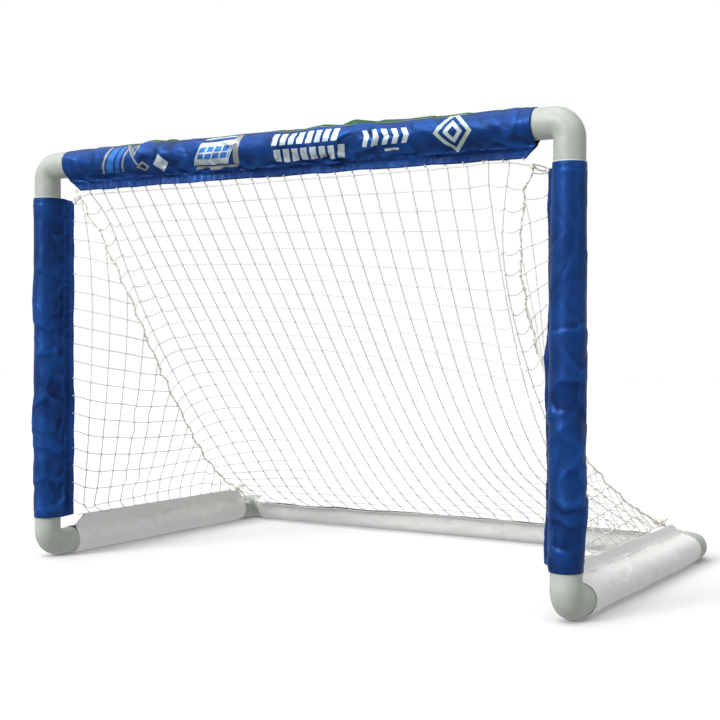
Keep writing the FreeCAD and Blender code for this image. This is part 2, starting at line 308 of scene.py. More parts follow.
def sun(name, energy, width, place):
    """Sun that shines from a place towards the goal; width is in degrees."""
    data = bpy.data.lights.new(name, "SUN")
    data.energy = energy
    data.angle = math.radians(width)
    aim(bpy.data.objects.new(name, data), place, (0.0, 0.0, 0.0))


GOAL_MIDDLE = (0.0, 0.0, 0.25)
sun("overhead", 2.5, 70.0, (-0.5, -0.6, 2.0))
sun("key", 2.3, 22.0, (-0.60, -1.55, 0.85))
fill = bpy.data.lights.new("right_lamp", "AREA")
fill.size = 0.7
fill.energy = 2.2
aim(bpy.data.objects.new("right_lamp", fill), (1.9, -0.55, 0.9), GOAL_MIDDLE)
print("lamps", [light.name for light in bpy.data.lights])

# %% [markdown]
# ## Plastic of the tubes and elbows
# The elbows are moulded in a pale grey: slightly mottled, faintly pebbled, with
# the thin line where the two halves of the mould met. The tubes are smooth
# extruded plastic, a little lighter. They hardly show between elbow and sleeve.

# %% Finish the elbows and tubes


def moulded_plastic(name, colour, part_line):
    """Moulded grey plastic; part_line gives the distance from the mould's joint."""
    finish = Finish(name, Roughness=0.5)
    where = finish.place()
    mottle = finish.noise(where, 60.0, 3.0)
    grain = finish.noise(where, 1400.0, 1.0)
    smear = finish.noise(finish.stretch(where, (1, 1, 4)), 25.0, 4.0)
    x, y, z = finish.parts(where)
    ridge = 1 - part_line(x, y, z).size().ease(0.0, 0.0005)
    dark = tuple(c * 0.90 for c in colour)
    tint = finish.mix(mottle.ease(0.35, 0.65), dark, colour)
    tint = finish.mix(ridge * 0.5, tint, tuple(min(1.0, c * 1.2) for c in colour))
    finish.set("Base Color", tint)
    finish.set("Roughness", 0.40 + 0.22 * smear)
    finish.bump(grain * 0.35 + ridge * 3, 0.0001, 0.5)
    return finish.material


ELBOW_GREY = (0.375, 0.405, 0.368)
top_plastic = moulded_plastic("top_elbow_plastic", ELBOW_GREY, lambda x, y, z: y - FRONT_Y)
foot_plastic = moulded_plastic("foot_elbow_plastic", ELBOW_GREY, lambda x, y, z: x.size() - POST_X)
rear_plastic = moulded_plastic("rear_elbow_plastic", ELBOW_GREY, lambda x, y, z: z - BASE_Z)

tube_finish = Finish("drawn_tube_plastic", Roughness=0.42)
tube_place = tube_finish.place()
streaks = tube_finish.noise(tube_finish.stretch(tube_place, (1, 1, 0.03)), 500.0, 2.0)
clouds = tube_finish.noise(tube_place, 12.0, 3.0)
tube_finish.set("Base Color", tube_finish.mix(clouds, (0.50, 0.53, 0.49), (0.55, 0.58, 0.54)))
tube_finish.set("Roughness", 0.36 + 0.15 * streaks)
tube_finish.bump(streaks, 0.00005, 0.4)


def paint(node, material):
    """Give a CAD node a finish."""
    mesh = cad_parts[node].data
    mesh.materials.clear()
    mesh.materials.append(material)
    mesh.shade_smooth()


for side in ("left", "right"):
    paint("top_%s_elbow" % side, top_plastic)
    paint("front_%s_elbow" % side, foot_plastic)
    paint("rear_%s_elbow" % side, rear_plastic)
    paint("%s_post_tube" % side, tube_finish.material)
    paint("%s_rail_tube" % side, tube_finish.material)
paint("crossbar_tube", tube_finish.material)
paint("rear_bar_tube", tube_finish.material)

# %% [markdown]
# ## Cloth sleeves
# Each sleeve is one strip of satin cloth folded round a tube and sewn to itself,
# so it has a tunnel and a flat flap of two layers. No cloth is simulated. The
# strip is drawn as a keyhole section swept along the tube, and folds are pressed
# into it: soft dents, creases and tilted facets on the tunnel, more of them near
# the seam, and short puckers where the flap begins.

# %% Smooth noise for folds


class Folds:
    """Smooth random relief over a sheet, the same on every run."""

    CELLS = 256

    def __init__(self, seed):
        self.grid = np.random.default_rng(seed).uniform(-1, 1, (self.CELLS, self.CELLS))

    def at(self, p, q):
        """Random value of a cell; the grid repeats."""
        return self.grid[p % self.CELLS, q % self.CELLS]

    def __call__(self, u, v):
        u0 = np.floor(u).astype(int)
        v0 = np.floor(v).astype(int)
        fu = u - u0
        fv = v - v0
        fu = fu * fu * (3 - 2 * fu)
        fv = fv * fv * (3 - 2 * fv)
        near = self.at(u0, v0) * (1 - fu) + self.at(u0 + 1, v0) * fu
        far = self.at(u0, v0 + 1) * (1 - fu) + self.at(u0 + 1, v0 + 1) * fu
        return near * (1 - fv) + far * fv

    def ridged(self, u, v):
        """Sharp crests and broad hollows, from 0 to 1."""
        return (1 - np.abs(self(u, v))) ** 3

    def crumple(self, u, v, blend):
        """Tilted flat facets, about -1 to 1; a larger blend makes sharper creases."""
        total = np.zeros(u.shape)
        weight = np.full(u.shape, 1e-9)
        for step_u in (-1, 0, 1):
            for step_v in (-1, 0, 1):
                p = np.floor(u).astype(int) + step_u
                q = np.floor(v).astype(int) + step_v
                over_u = u - (p + 0.5 + 0.46 * self.at(p, q))
                over_v = v - (q + 0.5 + 0.46 * self.at(q, p + 97))
                tilt_u = self.at(p + 31, q + 57)
                tilt_v = self.at(q + 83, p + 11)
                near = np.exp(-blend * (over_u ** 2 + over_v ** 2))
                total = total + near * (over_u * tilt_u + over_v * tilt_v) * 2
                weight = weight + near
        return total / weight


def soften(sheet, rounds):
    """Blur a sheet of values in both directions."""
    for _ in range(rounds):
        sheet = (np.roll(sheet, 1, 0) + 2 * sheet + np.roll(sheet, -1, 0)) / 4
        sheet = (np.roll(sheet, 1, 1) + 2 * sheet + np.roll(sheet, -1, 1)) / 4
    return sheet


# %% [markdown]
# ## Building a sleeve
# The section starts at the tip of one flap layer, runs in to the tube, round it
# and back out to the other tip. Stations along the tube give the rows. Cloth
# coordinates are kept as UVs in metres, so weave, hems and print have real sizes.

# %% Helpers for meshes


def new_piece(name, points, faces, material, uv, crest=None):
    """Mesh on the goal's one body; uv has a pair, crest a number, for each point.

    uv may have a pair for each face corner instead.
    """
    mesh = bpy.data.meshes.new(name)
    mesh.from_pydata(points.tolist(), [], faces)
    layer = mesh.uv_layers.new(name="cloth")
    corner_of = np.zeros(len(mesh.loops), int)
    mesh.loops.foreach_get("vertex_index", corner_of)
    values = uv if len(uv) == len(corner_of) else uv[corner_of]
    layer.data.foreach_set("uv", np.asarray(values, np.float32).ravel())
    if crest is not None:
        layer = mesh.attributes.new("crest", "FLOAT", "POINT")
        layer.data.foreach_set("value", crest.astype(np.float32))
    mesh.materials.append(material)
    piece = bpy.data.objects.new(name, mesh)
    scene.collection.objects.link(piece)
    mesh.shade_smooth()
    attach(piece, "root")
    return piece


def grid_faces(rows, columns, first=0, flip=False):
    """Quads of a grid of points."""
    faces = []
    for i in range(rows - 1):
        for j in range(columns - 1):
            a = first + i * columns + j
            quad = (a, a + 1, a + columns + 1, a + columns)
            faces.append(quad[::-1] if flip else quad)
    return faces


# %% Section of a sleeve

CLOTH = 0.0005
FLAP_GAP = 0.00065
LEAVE_TURN = math.radians(36.0)
STEP_ALONG = 0.0016
STEP_ACROSS = 0.0013


def keyhole(across, reach):
    """Place in the section, and outward normal, at a distance across the strip."""
    side = np.sign(across)
    side = np.where(side == 0, 1.0, side)
    out = np.abs(across)
    round_part = SLEEVE_R * (math.pi - LEAVE_TURN)
    slope_part = SLEEVE_R * math.tan(LEAVE_TURN)
    pinch = SLEEVE_R / math.cos(LEAVE_TURN)
    turn = math.pi - np.clip(out, 0, round_part) / SLEEVE_R
    a = SLEEVE_R * np.cos(turn)
    b = SLEEVE_R * np.sin(turn)
    on_slope = np.clip(out - round_part, 0, slope_part)
    a = a + on_slope * math.sin(LEAVE_TURN)
    b = b - on_slope * math.cos(LEAVE_TURN)
    on_flap = np.clip(out - round_part - slope_part, 0, None)
    a = a + on_flap
    b = np.maximum(b, FLAP_GAP)
    return a, b * side, np.clip((a - pinch) / (reach - pinch), 0, 1)


def smooth_rows(values, rounds):
    """Soften a section's corners."""
    for _ in range(rounds):
        values[1:-1] = (values[:-2] + 2 * values[1:-1] + values[2:]) / 4
    return values


def tuck(where, wobble, place, depth, tail):
    """Cloth that has slid down and bunches over the part below it."""
    past = where - place - wobble
    slow = np.exp(-np.abs(past) / tail)
    sharp = 1 / (1 + np.exp(-past / 0.0006 * np.sign(depth)))
    return abs(depth) * slow * sharp


# %% A sleeve

LOWEST = 0.0002
DENT = 0.0009
SLANT = 0.0010
FACET = 0.0021
LUMP = 0.0020
FINE_CREASE = 0.0005
SEAM_BULGE = 0.0016
SEAM_ZONE = 0.014
TUCK_WOBBLE = 0.0100
HEM_IN = 0.006
HEM_WIDTH = 0.0012
HEM_DEPTH = 0.0003
END_FADE = 0.010
CREST_HEIGHT = 0.0018


def tunnel_relief(fold, where, wide, u, free, a, pinch, half_tunnel, rumple, tucks):
    """Height of the folds on the tunnel: dents, creases, facets and tucks."""
    line = np.zeros_like(where)
    bend = 0.35 * fold(where / 0.045 + 23, wide / 0.040 + 8)
    amount = rumple[0] + (rumple[1] - rumple[0]) * u
    patch = np.clip(0.45 + fold(where / 0.070 + 51, wide / 0.060 + 61), 0, 1)
    by_seam = np.exp(-np.clip(half_tunnel - np.abs(wide), 0, None) / SEAM_ZONE)
    dents = fold.ridged(where / 0.120 + wide / 0.080 + bend, wide / 0.042 - where / 0.26)
    slants = fold.ridged(
        where / 0.050 + wide / 0.030 + bend, wide / 0.055 - where / 0.090 + 31 + bend,
    )
    facets = 0.5 + fold.crumple(
        where / 0.034 + wide / 0.060 + bend, wide / 0.024 - where / 0.080 + 5 + bend, 14.0,
    )
    lumps = 0.5 + fold.crumple(where / 0.018 + wide / 0.040 + 40, wide / 0.013 + 25 + bend, 12.0)
    fine = fold.ridged(where / 0.013 + wide / 0.030 + 71, wide / 0.012 + 5 + bend)
    rise = DENT * dents + amount * SLANT * slants * patch
    rise = rise + amount * FACET * np.clip(facets, 0, 2) * (0.30 + 0.70 * patch)
    rise = rise + amount * by_seam * (LUMP * np.clip(lumps, 0, 2) + FINE_CREASE * fine)
    near_seam = np.exp(-((a[None, :] - pinch + 0.003) / 0.005) ** 2)
    rise = rise + amount * SEAM_BULGE * near_seam * np.clip(fold(where / 0.017 + 19, line + 4.5), 0, 1)
    for place, depth, tail, lean in tucks:
        facing = 0.25 + 0.75 * np.clip(0.6 + fold(wide / 0.017 + place * 90, line + 7.5), 0, 1)
        wobble = lean * wide + TUCK_WOBBLE * fold(wide / 0.016 + place * 70, line + 3.5)
        rise = rise + tuck(where, wobble, place, depth, tail) * facing
    return rise


def rim_of(rows, columns):
    """Numbers of a grid's outer points, once round."""
    rim = [i * columns for i in range(rows)]
    rim += [(rows - 1) * columns + j for j in range(1, columns)]
    rim += [i * columns + columns - 1 for i in range(rows - 2, -1, -1)]
    return rim + list(range(columns - 2, 0, -1))


def sleeve(node, start, along, flap_way, length, reach, cuts, finish, slot, seed, slack,
           rumple=(1.0, 1.0), tucks=(), gather=0.0008, droop=0.0):
    """Cloth sleeve that stands for a CAD node; returns its rows of points.

    along and flap_way are directions and reach is the flap's edge from the tube's
    axis. cuts slant the flap's two ends. slack, rumple (at start and end), tucks
    and gather set the folds, and droop lets the start of the flap sag sideways.
    """
    along, flap_way = np.array(along, float), np.array(flap_way, float)
    beside = np.cross(along, flap_way)
    pinch = SLEEVE_R / math.cos(LEAVE_TURN)
    half = SLEEVE_R * (math.pi - LEAVE_TURN) + SLEEVE_R * math.tan(LEAVE_TURN) + reach - pinch
    across = np.linspace(-half, half, 2 * int(half / STEP_ACROSS) + 1)
    a, b, free = keyhole(across, reach)
    a = smooth_rows(a.copy(), 2)
    b = smooth_rows(b.copy(), 2)
    tangent = np.stack([np.gradient(a), np.gradient(b)], 1)
    tangent /= np.linalg.norm(tangent, axis=1)[:, None]
    normal_a, normal_b = tangent[:, 1], -tangent[:, 0]
    outward = np.sign(normal_a * a + normal_b * b + 1e-9)
    outward = np.where(free > 0, np.sign(normal_b * b), outward)
    normal_a, normal_b = normal_a * outward, normal_b * outward

    rows = int(length / STEP_ALONG) + 1
    columns = len(across)
    u = np.linspace(0, 1, rows)[:, None]
    free = free[None, :]
    low_end = free * cuts[0]
    high_end = length - free * cuts[1]
    where = low_end + (high_end - low_end) * u
    wide = np.broadcast_to(across[None, :], where.shape)
    line = np.zeros_like(where)
    fold = Folds(seed)
    tube_part = 1 - np.clip(free * 3, 0, 1)
    rise = tunnel_relief(fold, where, wide, u, free, a, pinch, half - reach + pinch, rumple, tucks)
    rise = rise * slack * tube_part
    near_end = np.clip(np.minimum(where - low_end, high_end - where) / END_FADE, 0, 1)
    rise = rise * (0.35 + 0.65 * near_end)
    near_pinch = np.exp(-((a[None, :] - pinch - 0.003) / 0.0045) ** 2)
    pucker = fold(where / 0.0036 + 7, line + 3.5)
    bunch = np.clip(0.55 + fold(where / 0.090 + 2, line + 6.5), 0, 1)
    rise = rise + gather * np.abs(pucker) * near_pinch * (0.3 + 0.6 * u + 0.7 * bunch)
    from_low = (where - low_end - HEM_IN) / HEM_WIDTH
    from_high = (high_end - where - HEM_IN) / HEM_WIDTH
    rise = rise - HEM_DEPTH * (np.exp(-from_low ** 2) + np.exp(-from_high ** 2)) * tube_part

    wave = fold(where / 0.052 + 3, line + 9.5) * 0.0026
    wave = wave + fold(where / 0.019 + 11, line + 1.5) * 0.0013
    wave = wave + pucker * gather * 0.5
    sway = wave * free ** 1.3 * slack + droop * (1 - u) ** 2 * free
    spread = 0.0006 + 0.0006 * fold(where / 0.03 + 40, line + 2.5)
    b_here = b[None, :] + sway + np.sign(across)[None, :] * spread * free
    a_here = a[None, :] + 0.0009 * fold(where / 0.021 + 5, line + 0.5) * free
    # Height above the blurred relief; the satin uses it for painted shade in the hollows and a painted
    # highlight on the crests
    crest = np.clip(0.5 + (rise - soften(rise, 20)) / CREST_HEIGHT, 0, 1)

    def layer(depth):
        """Points of the cloth's face at a depth below its outer side, kept off the floor."""
        sheet_a = a_here + (rise - depth) * normal_a[None, :]
        sheet_b = b_here + (rise - depth) * normal_b[None, :]
        grid = where[..., None] * along + sheet_a[..., None] * flap_way + sheet_b[..., None] * beside
        spots = (grid + np.array(start)).reshape(-1, 3)
        spots[:, 2] = np.maximum(spots[:, 2], LOWEST + depth)
        return spots

    outside = layer(0.0)
    points = np.concatenate([outside, layer(CLOTH)])
    count = rows * columns
    faces = grid_faces(rows, columns) + grid_faces(rows, columns, count, True)
    rim = rim_of(rows, columns)
    faces += [(p, q, q + count, p + count) for p, q in zip(rim, rim[1:] + rim[:1])]
    uv = np.stack([where, wide], -1).reshape(-1, 2)
    piece = new_piece(
        node + "_cloth", points, faces, finish.material,
        np.concatenate([uv, uv]), np.concatenate([crest.ravel(), crest.ravel()]),
    )
    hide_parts(node)
    flat = (round(2 * half, 4), round(length, 4))
    print(node, "flat", flat, "rows", rows, "columns", columns)
    grid = outside.reshape(rows, columns, 3)
    return {"points": grid, "across": across, "seam": half - reach + pinch, "half": half, "slot": slot}


# %% [markdown]
# ## Satin cloth
# The sleeves are shiny polyester satin. Its colour carries painted shade in
# the hollows of the folds and a painted highlight on their crests, over a
# cloudy random tone. The crest of every fold is stored with the mesh, so the
# shader can paint them there, and a fine twill and small creases go into the relief.

# %% Finish the cloth
FLOAT_PITCH = 0.0011
WALE_PITCH = 0.0017


def satin(name, shaded_tone, lit, sheen, roughness, sparkle):
    """Woven satin; the first colour is painted shade for the hollows, the second a painted highlight for
    the crests, with a cloudy random tone between them.
    """
    finish = Finish(
        name, Roughness=roughness, Sheen_Weight=sheen, Sheen_Roughness=0.35,
        Sheen_Tint=rgba(lit), Specular_IOR_Level=0.2, Metallic=sparkle,
    )
    along, across = finish.uv()
    place = finish.cloth_place()
    crest = finish.node("ShaderNodeAttribute", {"attribute_name": "crest"}, output=2)
    floats = ((along + across) * (2 * math.pi / FLOAT_PITCH)).sine()
    twill = floats * ((across - along) * (2 * math.pi / WALE_PITCH)).sine()
    crease = finish.noise(finish.stretch(place, (1.0, 2.2, 1.0)), 70.0, 4.0)
    cloud = finish.noise(place, 14.0, 2.0)
    finish.along, finish.across, finish.crest = along, across, crest
    # Painted shade in the fold hollows and a painted highlight on the crests, mixed with a cloudy random
    # tone
    share = crest.ease(0.1, 0.9) * 0.55 + cloud.ease(0.35, 0.7) * 0.35
    finish.tint = finish.mix(share, shaded_tone, lit)
    finish.set("Base Color", finish.tint)
    finish.set("Roughness", roughness - 0.08 + 0.18 * crease)
    finish.bump(twill * 0.12 + crease * 5, 0.00014, 0.7)
    return finish


# Dark blue of the painted shade in the hollows and light blue of the painted highlight on the crests
BLUE_SHADED_TONE = (0.0016, 0.017, 0.088)
BLUE_LIT = (0.0075, 0.068, 0.290)
blue_satin = satin("blue_satin", BLUE_SHADED_TONE, BLUE_LIT, 0.1, 0.41, 0.45)
# The white sleeves get the same painted shade in the hollows and painted highlight on the crests
white_satin = satin("white_satin", (0.66, 0.675, 0.65), (0.74, 0.755, 0.73), 0.1, 0.5, 0.0)
crossbar_satin = satin("printed_satin", BLUE_SHADED_TONE, BLUE_LIT, 0.1, 0.41, 0.45)

# %% [markdown]
# ## Print on the crossbar
# The front of the crossbar carries a print in white, silver and light blue. Here
# it is a row of plain bars, chevrons and diamonds, with a green band along the
# top. Each shape is a sum on the cloth coordinates, which keeps its edges sharp
# at any distance; a painted image would need a file and would blur.

# %% Shapes of the print
print_along = crossbar_satin.along
print_up = crossbar_satin.across + SLEEVE_R * math.pi / 2


def leaning(place, up, width, height, lean):
    """Bar that leans with the height, centred at a place along the cloth."""
    rise = print_up - up
    return ((print_along - place - rise * lean).size() < width / 2) * (rise.size() < height / 2)


def diamond(place, up, width, height):
    """Diamond centred at a place along the cloth."""
    return ((print_along - place).size() / width + (print_up - up).size() / height) < 0.5


def hollow(place, up, width, height, hole_width, hole_height):
    """Diamond with a smaller diamond cut out."""
    return diamond(place, up, width, height) * (1 - diamond(place, up, hole_width, hole_height))


def row(over, last, rise, height, pitch, width):
    """Bars repeated from 0 to last, in a strip of some height."""
    return over.between(0, last) * (over.repeat(pitch) < width) * (rise.size() < height / 2)


def leaning_row(first, last, up, height, pitch, width, lean):
    """Row of leaning bars between two places."""
    rise = print_up - up
    return row(print_along - first - rise * lean, last - first, rise, height, pitch, width)


def chevrons(first, last, up, height, pitch, width, slope):
    """Row of arrowheads that point along the bar."""
    rise = print_up - up
    return row(print_along - first + rise.size() * slope, last - first, rise, height, pitch, width)


# %% Colour the print
INK_WHITE = (0.52, 0.60, 0.64)
INK_SILVER = (0.30, 0.31, 0.31)
INK_SKY = (0.035, 0.16, 0.50)
INK_PALE = (0.42, 0.52, 0.45)
INK_GREEN = (0.010, 0.105, 0.030)
band_edge = 0.0215 - 0.0062 * print_along.ease(0.28, 0.34) - 0.0030 * print_along.between(0.045, 0.150)
band_edge = band_edge + 0.0060 * print_along.ease(0.545, 0.570)
inks = [
    (leaning(0.0700, -0.001, 0.0035, 0.034, 0.45), INK_SILVER),
    (leaning(0.0800, -0.001, 0.0100, 0.034, 0.45), INK_SKY),
    (leaning(0.0915, -0.001, 0.0060, 0.034, 0.45), INK_SKY),
    (leaning(0.1000, -0.001, 0.0030, 0.034, 0.45), INK_SILVER),
    (leaning(0.112, 0.004, 0.0030, 0.030, -0.75), INK_SILVER),
    (hollow(0.118, 0.010, 0.016, 0.020, 0.009, 0.011), INK_SILVER),
    (hollow(0.128, -0.012, 0.020, 0.013, 0.012, 0.007), INK_SILVER),
    (diamond(0.1555, -0.010, 0.022, 0.021), INK_WHITE),
    (leaning(0.2660, 0.000, 0.0075, 0.036, 0.20), INK_SILVER),
    (leaning(0.2330, -0.0205, 0.060, 0.0035, 0.6), INK_SILVER),
    (leaning(0.2340, -0.0040, 0.050, 0.026, 0.65), INK_WHITE),
    (leaning_row(0.2130, 0.2580, -0.0030, 0.0130, 0.0110, 0.0088, 0.65), INK_SKY),
    (leaning(0.2360, -0.0030, 0.048, 0.0016, 0.65), INK_WHITE),
    (leaning(0.2420, 0.0150, 0.044, 0.0035, 0.65), INK_WHITE),
    (leaning_row(0.3170, 0.4060, 0.0045, 0.0125, 0.0112, 0.0074, 0.22), INK_WHITE),
    (leaning_row(0.3170, 0.4110, -0.0125, 0.0135, 0.0118, 0.0082, 0.22), INK_WHITE),
    (chevrons(0.4360, 0.4930, -0.0020, 0.0150, 0.0116, 0.0062, 0.55), INK_WHITE),
    (leaning(0.4650, -0.0150, 0.0170, 0.0026, 0.3), INK_WHITE),
    (hollow(0.5385, -0.003, 0.044, 0.046, 0.033, 0.034), INK_PALE),
    (hollow(0.5385, -0.003, 0.022, 0.023, 0.011, 0.012), INK_WHITE),
    (((print_up - band_edge).size() < 0.0006) * (print_along < 0.560), INK_SILVER),
    ((print_up > band_edge) * print_along.between(0.012, 0.575) * (print_up < 0.045), INK_GREEN),
]
worn = crossbar_satin.noise(crossbar_satin.place(), 240.0, 3.0).ease(0.22, 0.40)
cover = 0.55 + 0.45 * worn
on_crest = crossbar_satin.crest.ease(0.2, 0.7)
tint = crossbar_satin.tint
# Ink in the fold hollows gets painted shade, 0.72 of its colour; on the crests it keeps its own colour
for mask, ink in inks:
    shade = tuple(c * 0.72 for c in ink)
    tint = crossbar_satin.mix(mask * cover, tint, crossbar_satin.mix(on_crest, shade, ink))
crossbar_satin.set("Base Color", tint)
print("shapes in the print", len(inks))

# %% Sew the six sleeves


def span(node, axis):
    """Start and length of a CAD node along one axis."""
    low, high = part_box(node)
    return low[axis], high[axis] - low[axis]


POST_FLAP_TURN = math.radians(60.0)
RAIL_FLAP_TILT = math.radians(65.0)
REAR_FLAP_TILT = math.radians(28.0)
POST_REACH = 0.033
RAIL_REACH = 0.036
REAR_REACH = 0.033
BAR_REACH = 0.033
sewn = {}
OVER_ELBOW = 0.0055
start, length = span("crossbar_sleeve", 0)
sewn["crossbar_sleeve"] = sleeve(
    "crossbar_sleeve", (start, FRONT_Y, TOP_Z), (1, 0, 0), (0, 0, -1), length + OVER_ELBOW, BAR_REACH,
    (0.017, 0.012), crossbar_satin, "blue_cloth", 3, 0.9, (1.1, 1.5), gather=0.0015,
)
REAR_DROOP = 0.0065
start, length = span("rear_bar_sleeve", 0)
rear_way = (0, -math.cos(REAR_FLAP_TILT), math.sin(REAR_FLAP_TILT))
sewn["rear_bar_sleeve"] = sleeve(
    "rear_bar_sleeve", (start, REAR_Y, BASE_Z), (1, 0, 0), rear_way, length, REAR_REACH,
    (0.014, 0.010), white_satin, "white_cloth", 5, 0.5, gather=0.0004, droop=REAR_DROOP,
)
POST_TUCKS = {
    "left": ((0.244, 0.0022, 0.050, 0.10), (0.082, 0.0012, 0.018, 0.0), (0.040, 0.0016, 0.020, -0.15)),
    "right": ((0.323, -0.0012, 0.030, 0.9), (0.234, -0.0022, 0.035, 0.10), (0.186, 0.0016, 0.012, -0.1),
              (0.051, 0.0013, 0.014, 0.0)),
}
post_way, rail_way = {}, {}
for side, hand in (("left", -1), ("right", 1)):
    post_way[side] = (-hand * math.sin(POST_FLAP_TURN), math.cos(POST_FLAP_TURN), 0)
    rail_way[side] = (-hand * math.cos(RAIL_FLAP_TILT), 0, math.sin(RAIL_FLAP_TILT))
    start, length = span(side + "_post_sleeve", 2)
    sewn[side + "_post_sleeve"] = sleeve(
        side + "_post_sleeve", (hand * POST_X, FRONT_Y, start), (0, 0, 1), post_way[side],
        length, POST_REACH, (0.003, 0.004), blue_satin, "blue_cloth", 11 + hand, 1.0,
        (1.2, 0.40), POST_TUCKS[side],
    )
    start, length = span(side + "_rail_sleeve", 1)
    sewn[side + "_rail_sleeve"] = sleeve(
        side + "_rail_sleeve", (hand * POST_X, start, BASE_Z), (0, 1, 0), rail_way[side],
        length, RAIL_REACH, (0.010, 0.020), white_satin, "white_cloth", 21 + hand, 0.5,
        gather=0.0004,
    )


# %% [markdown]
# ## The net
# The net is knotted from thin white twine in squares of about 22 mm. The knots
# are points and the strings are links. Gravity settles them between the flaps
# and the laced seams, which hold still. A string drawn past its length pulls its
# ends together, and one crowded well below its length pushes them lightly apart.
# After these few rounds some strings stay longer than they were cut. Blender's
# cloth simulation could hang the net too; this rule is short, and it leaves the
# place of every knot at hand for the twine.

# %% The laced seam line

MESH = 0.0224
COLUMNS = 27
ROWS = 28
STUB = 0.0045
FLAP_EDGE = 0.0335
EDGE_GAP = 0.0005
SEAM_TOP_Z = TOP_Z - 0.0400
SEAM_FOOT_Z = BASE_Z + 0.031
SEAM_TOP_INSET = {-1: 0.047, 1: 0.042}
SEAM_FOOT_INSET = 0.022
SEAM_BOW = {-1: 0.050, 1: 0.041}
SEAM_TOP_BACK = 0.006
SEAM_LEAN = 0.110
SEAM_CURVE = 0.190
SEAM_FOOT_BACK = 0.855 * (REAR_Y - FRONT_Y)


def seam_point(hand, share):
    """Point on a laced seam, from its top at 0 to its foot at 1."""
    share = np.asarray(share, float)
    tail = SEAM_FOOT_BACK - (SEAM_TOP_BACK + SEAM_LEAN + SEAM_CURVE)
    back = SEAM_TOP_BACK + SEAM_LEAN * share + SEAM_CURVE * share ** 2 + tail * share ** 10
    bow = SEAM_BOW[hand] * (1 - np.abs(2 * share - 1) ** 2.5)
    inset = SEAM_TOP_INSET[hand] * (1 - share) + SEAM_FOOT_INSET * share + bow
    x = hand * (POST_X - inset)
    z = SEAM_TOP_Z + (SEAM_FOOT_Z - SEAM_TOP_Z) * share
    return np.stack([x, FRONT_Y + back, z], -1)


def run_along(line):
    """Distance from a line's start to each of its points."""
    return np.concatenate([[0], np.cumsum(np.linalg.norm(np.diff(line, axis=0), axis=1))])


fine_share = np.linspace(0, 1, 2001)
fine_seam = {hand: seam_point(hand, fine_share) for hand in (-1, 1)}
seam_run = run_along(fine_seam[1])
SEAM_LENGTH = seam_run[-1]
print("seam length", round(SEAM_LENGTH, 4))

# %% Knots and strings of the back and side panels


class Net:
    """Knots, the strings between them, and which knots are sewn in place."""

    def __init__(self):
        self.knots = []
        self.held = []
        self.strings = []

    def knot(self, place, held=False):
        self.knots.append(np.array(place, float))
        self.held.append(held)
        return len(self.knots) - 1

    def string(self, first, second, length):
        self.strings.append((first, second, length))

    def settle(self, steps, rounds, pull, seed):
        """Let the net hang under a steady pull; held knots stay put."""
        places = np.array(self.knots)
        free = ~np.array(self.held)
        rng = np.random.default_rng(seed)
        places[free] += rng.normal(0, 0.0012, (free.sum(), 3))
        before = places.copy()
        ends = np.array([s[:2] for s in self.strings])
        lengths = np.array([s[2] for s in self.strings])
        groups = self.colour_strings(ends)
        for step in range(steps):
            damping = 0.90 if step < steps * 0.6 else 0.75
            moved = places + (places - before) * damping
            moved[:, 2] -= pull
            before = places.copy()
            places[free] = moved[free]
            for _ in range(rounds):
                for group in groups:
                    a, b = ends[group, 0], ends[group, 1]
                    gap = places[b] - places[a]
                    far = np.linalg.norm(gap, axis=1)
                    rest = lengths[group]
                    stretch = np.where(far > rest, far - rest, 0.10 * np.minimum(far - 0.86 * rest, 0))
                    weight_a = free[a].astype(float)
                    weight_b = free[b].astype(float)
                    total = np.maximum(weight_a + weight_b, 1e-9)
                    shift = gap / np.maximum(far, 1e-9)[:, None] * (stretch / total)[:, None]
                    places[a] += shift * weight_a[:, None]
                    places[b] -= shift * weight_b[:, None]
        return places

    def colour_strings(self, ends):
        """Groups of strings that share no knot, so each group can move at once."""
        used = {}
        groups = []
        for number, (a, b) in enumerate(ends):
            taken = used.setdefault(a, set()) | used.setdefault(b, set())
            colour = 0
            while colour in taken:
                colour += 1
            used[a].add(colour)
            used[b].add(colour)
            while len(groups) <= colour:
                groups.append([])
            groups[colour].append(number)
        return [np.array(group) for group in groups]


# The down strings are cut a little short at the left and a little long at the
# right, so the net sags deeper there.
LEFT_CUT = 0.955
RIGHT_EXTRA = 0.075
TOP_END_GAP = 0.009
FOOT_END_GAP = 0.006
net = Net()
top_half = sum(span("crossbar_sleeve", 0)) - TOP_END_GAP
foot_half = sum(span("rear_bar_sleeve", 0)) - FOOT_END_GAP
foot_y = REAR_Y - FLAP_EDGE * math.cos(REAR_FLAP_TILT)
foot_z = BASE_Z + FLAP_EDGE * math.sin(REAR_FLAP_TILT)
back = np.zeros((ROWS + 1, COLUMNS + 1), int)
for r in range(ROWS + 1):
    run = SEAM_LENGTH * max(r - 1, 0) / (ROWS - 2)
    share = float(np.interp(min(run, SEAM_LENGTH), seam_run, fine_share))
    if r == ROWS:
        ends = [np.array([hand * foot_half, foot_y, foot_z]) for hand in (-1, 1)]
    else:
        ends = [seam_point(hand, share) for hand in (-1, 1)]
    for c in range(COLUMNS + 1):
        across = c / COLUMNS
        place = ends[0] * (1 - across) + ends[1] * across
        edge = r in (0, ROWS) or c in (0, COLUMNS)
        if r == 0:
            place = (top_half * (2 * across - 1), FRONT_Y, TOP_Z - FLAP_EDGE)
        if r == ROWS:
            place[2] -= REAR_DROOP * 0.88 * (1 - across) ** 2
        back[r, c] = net.knot(place, edge)
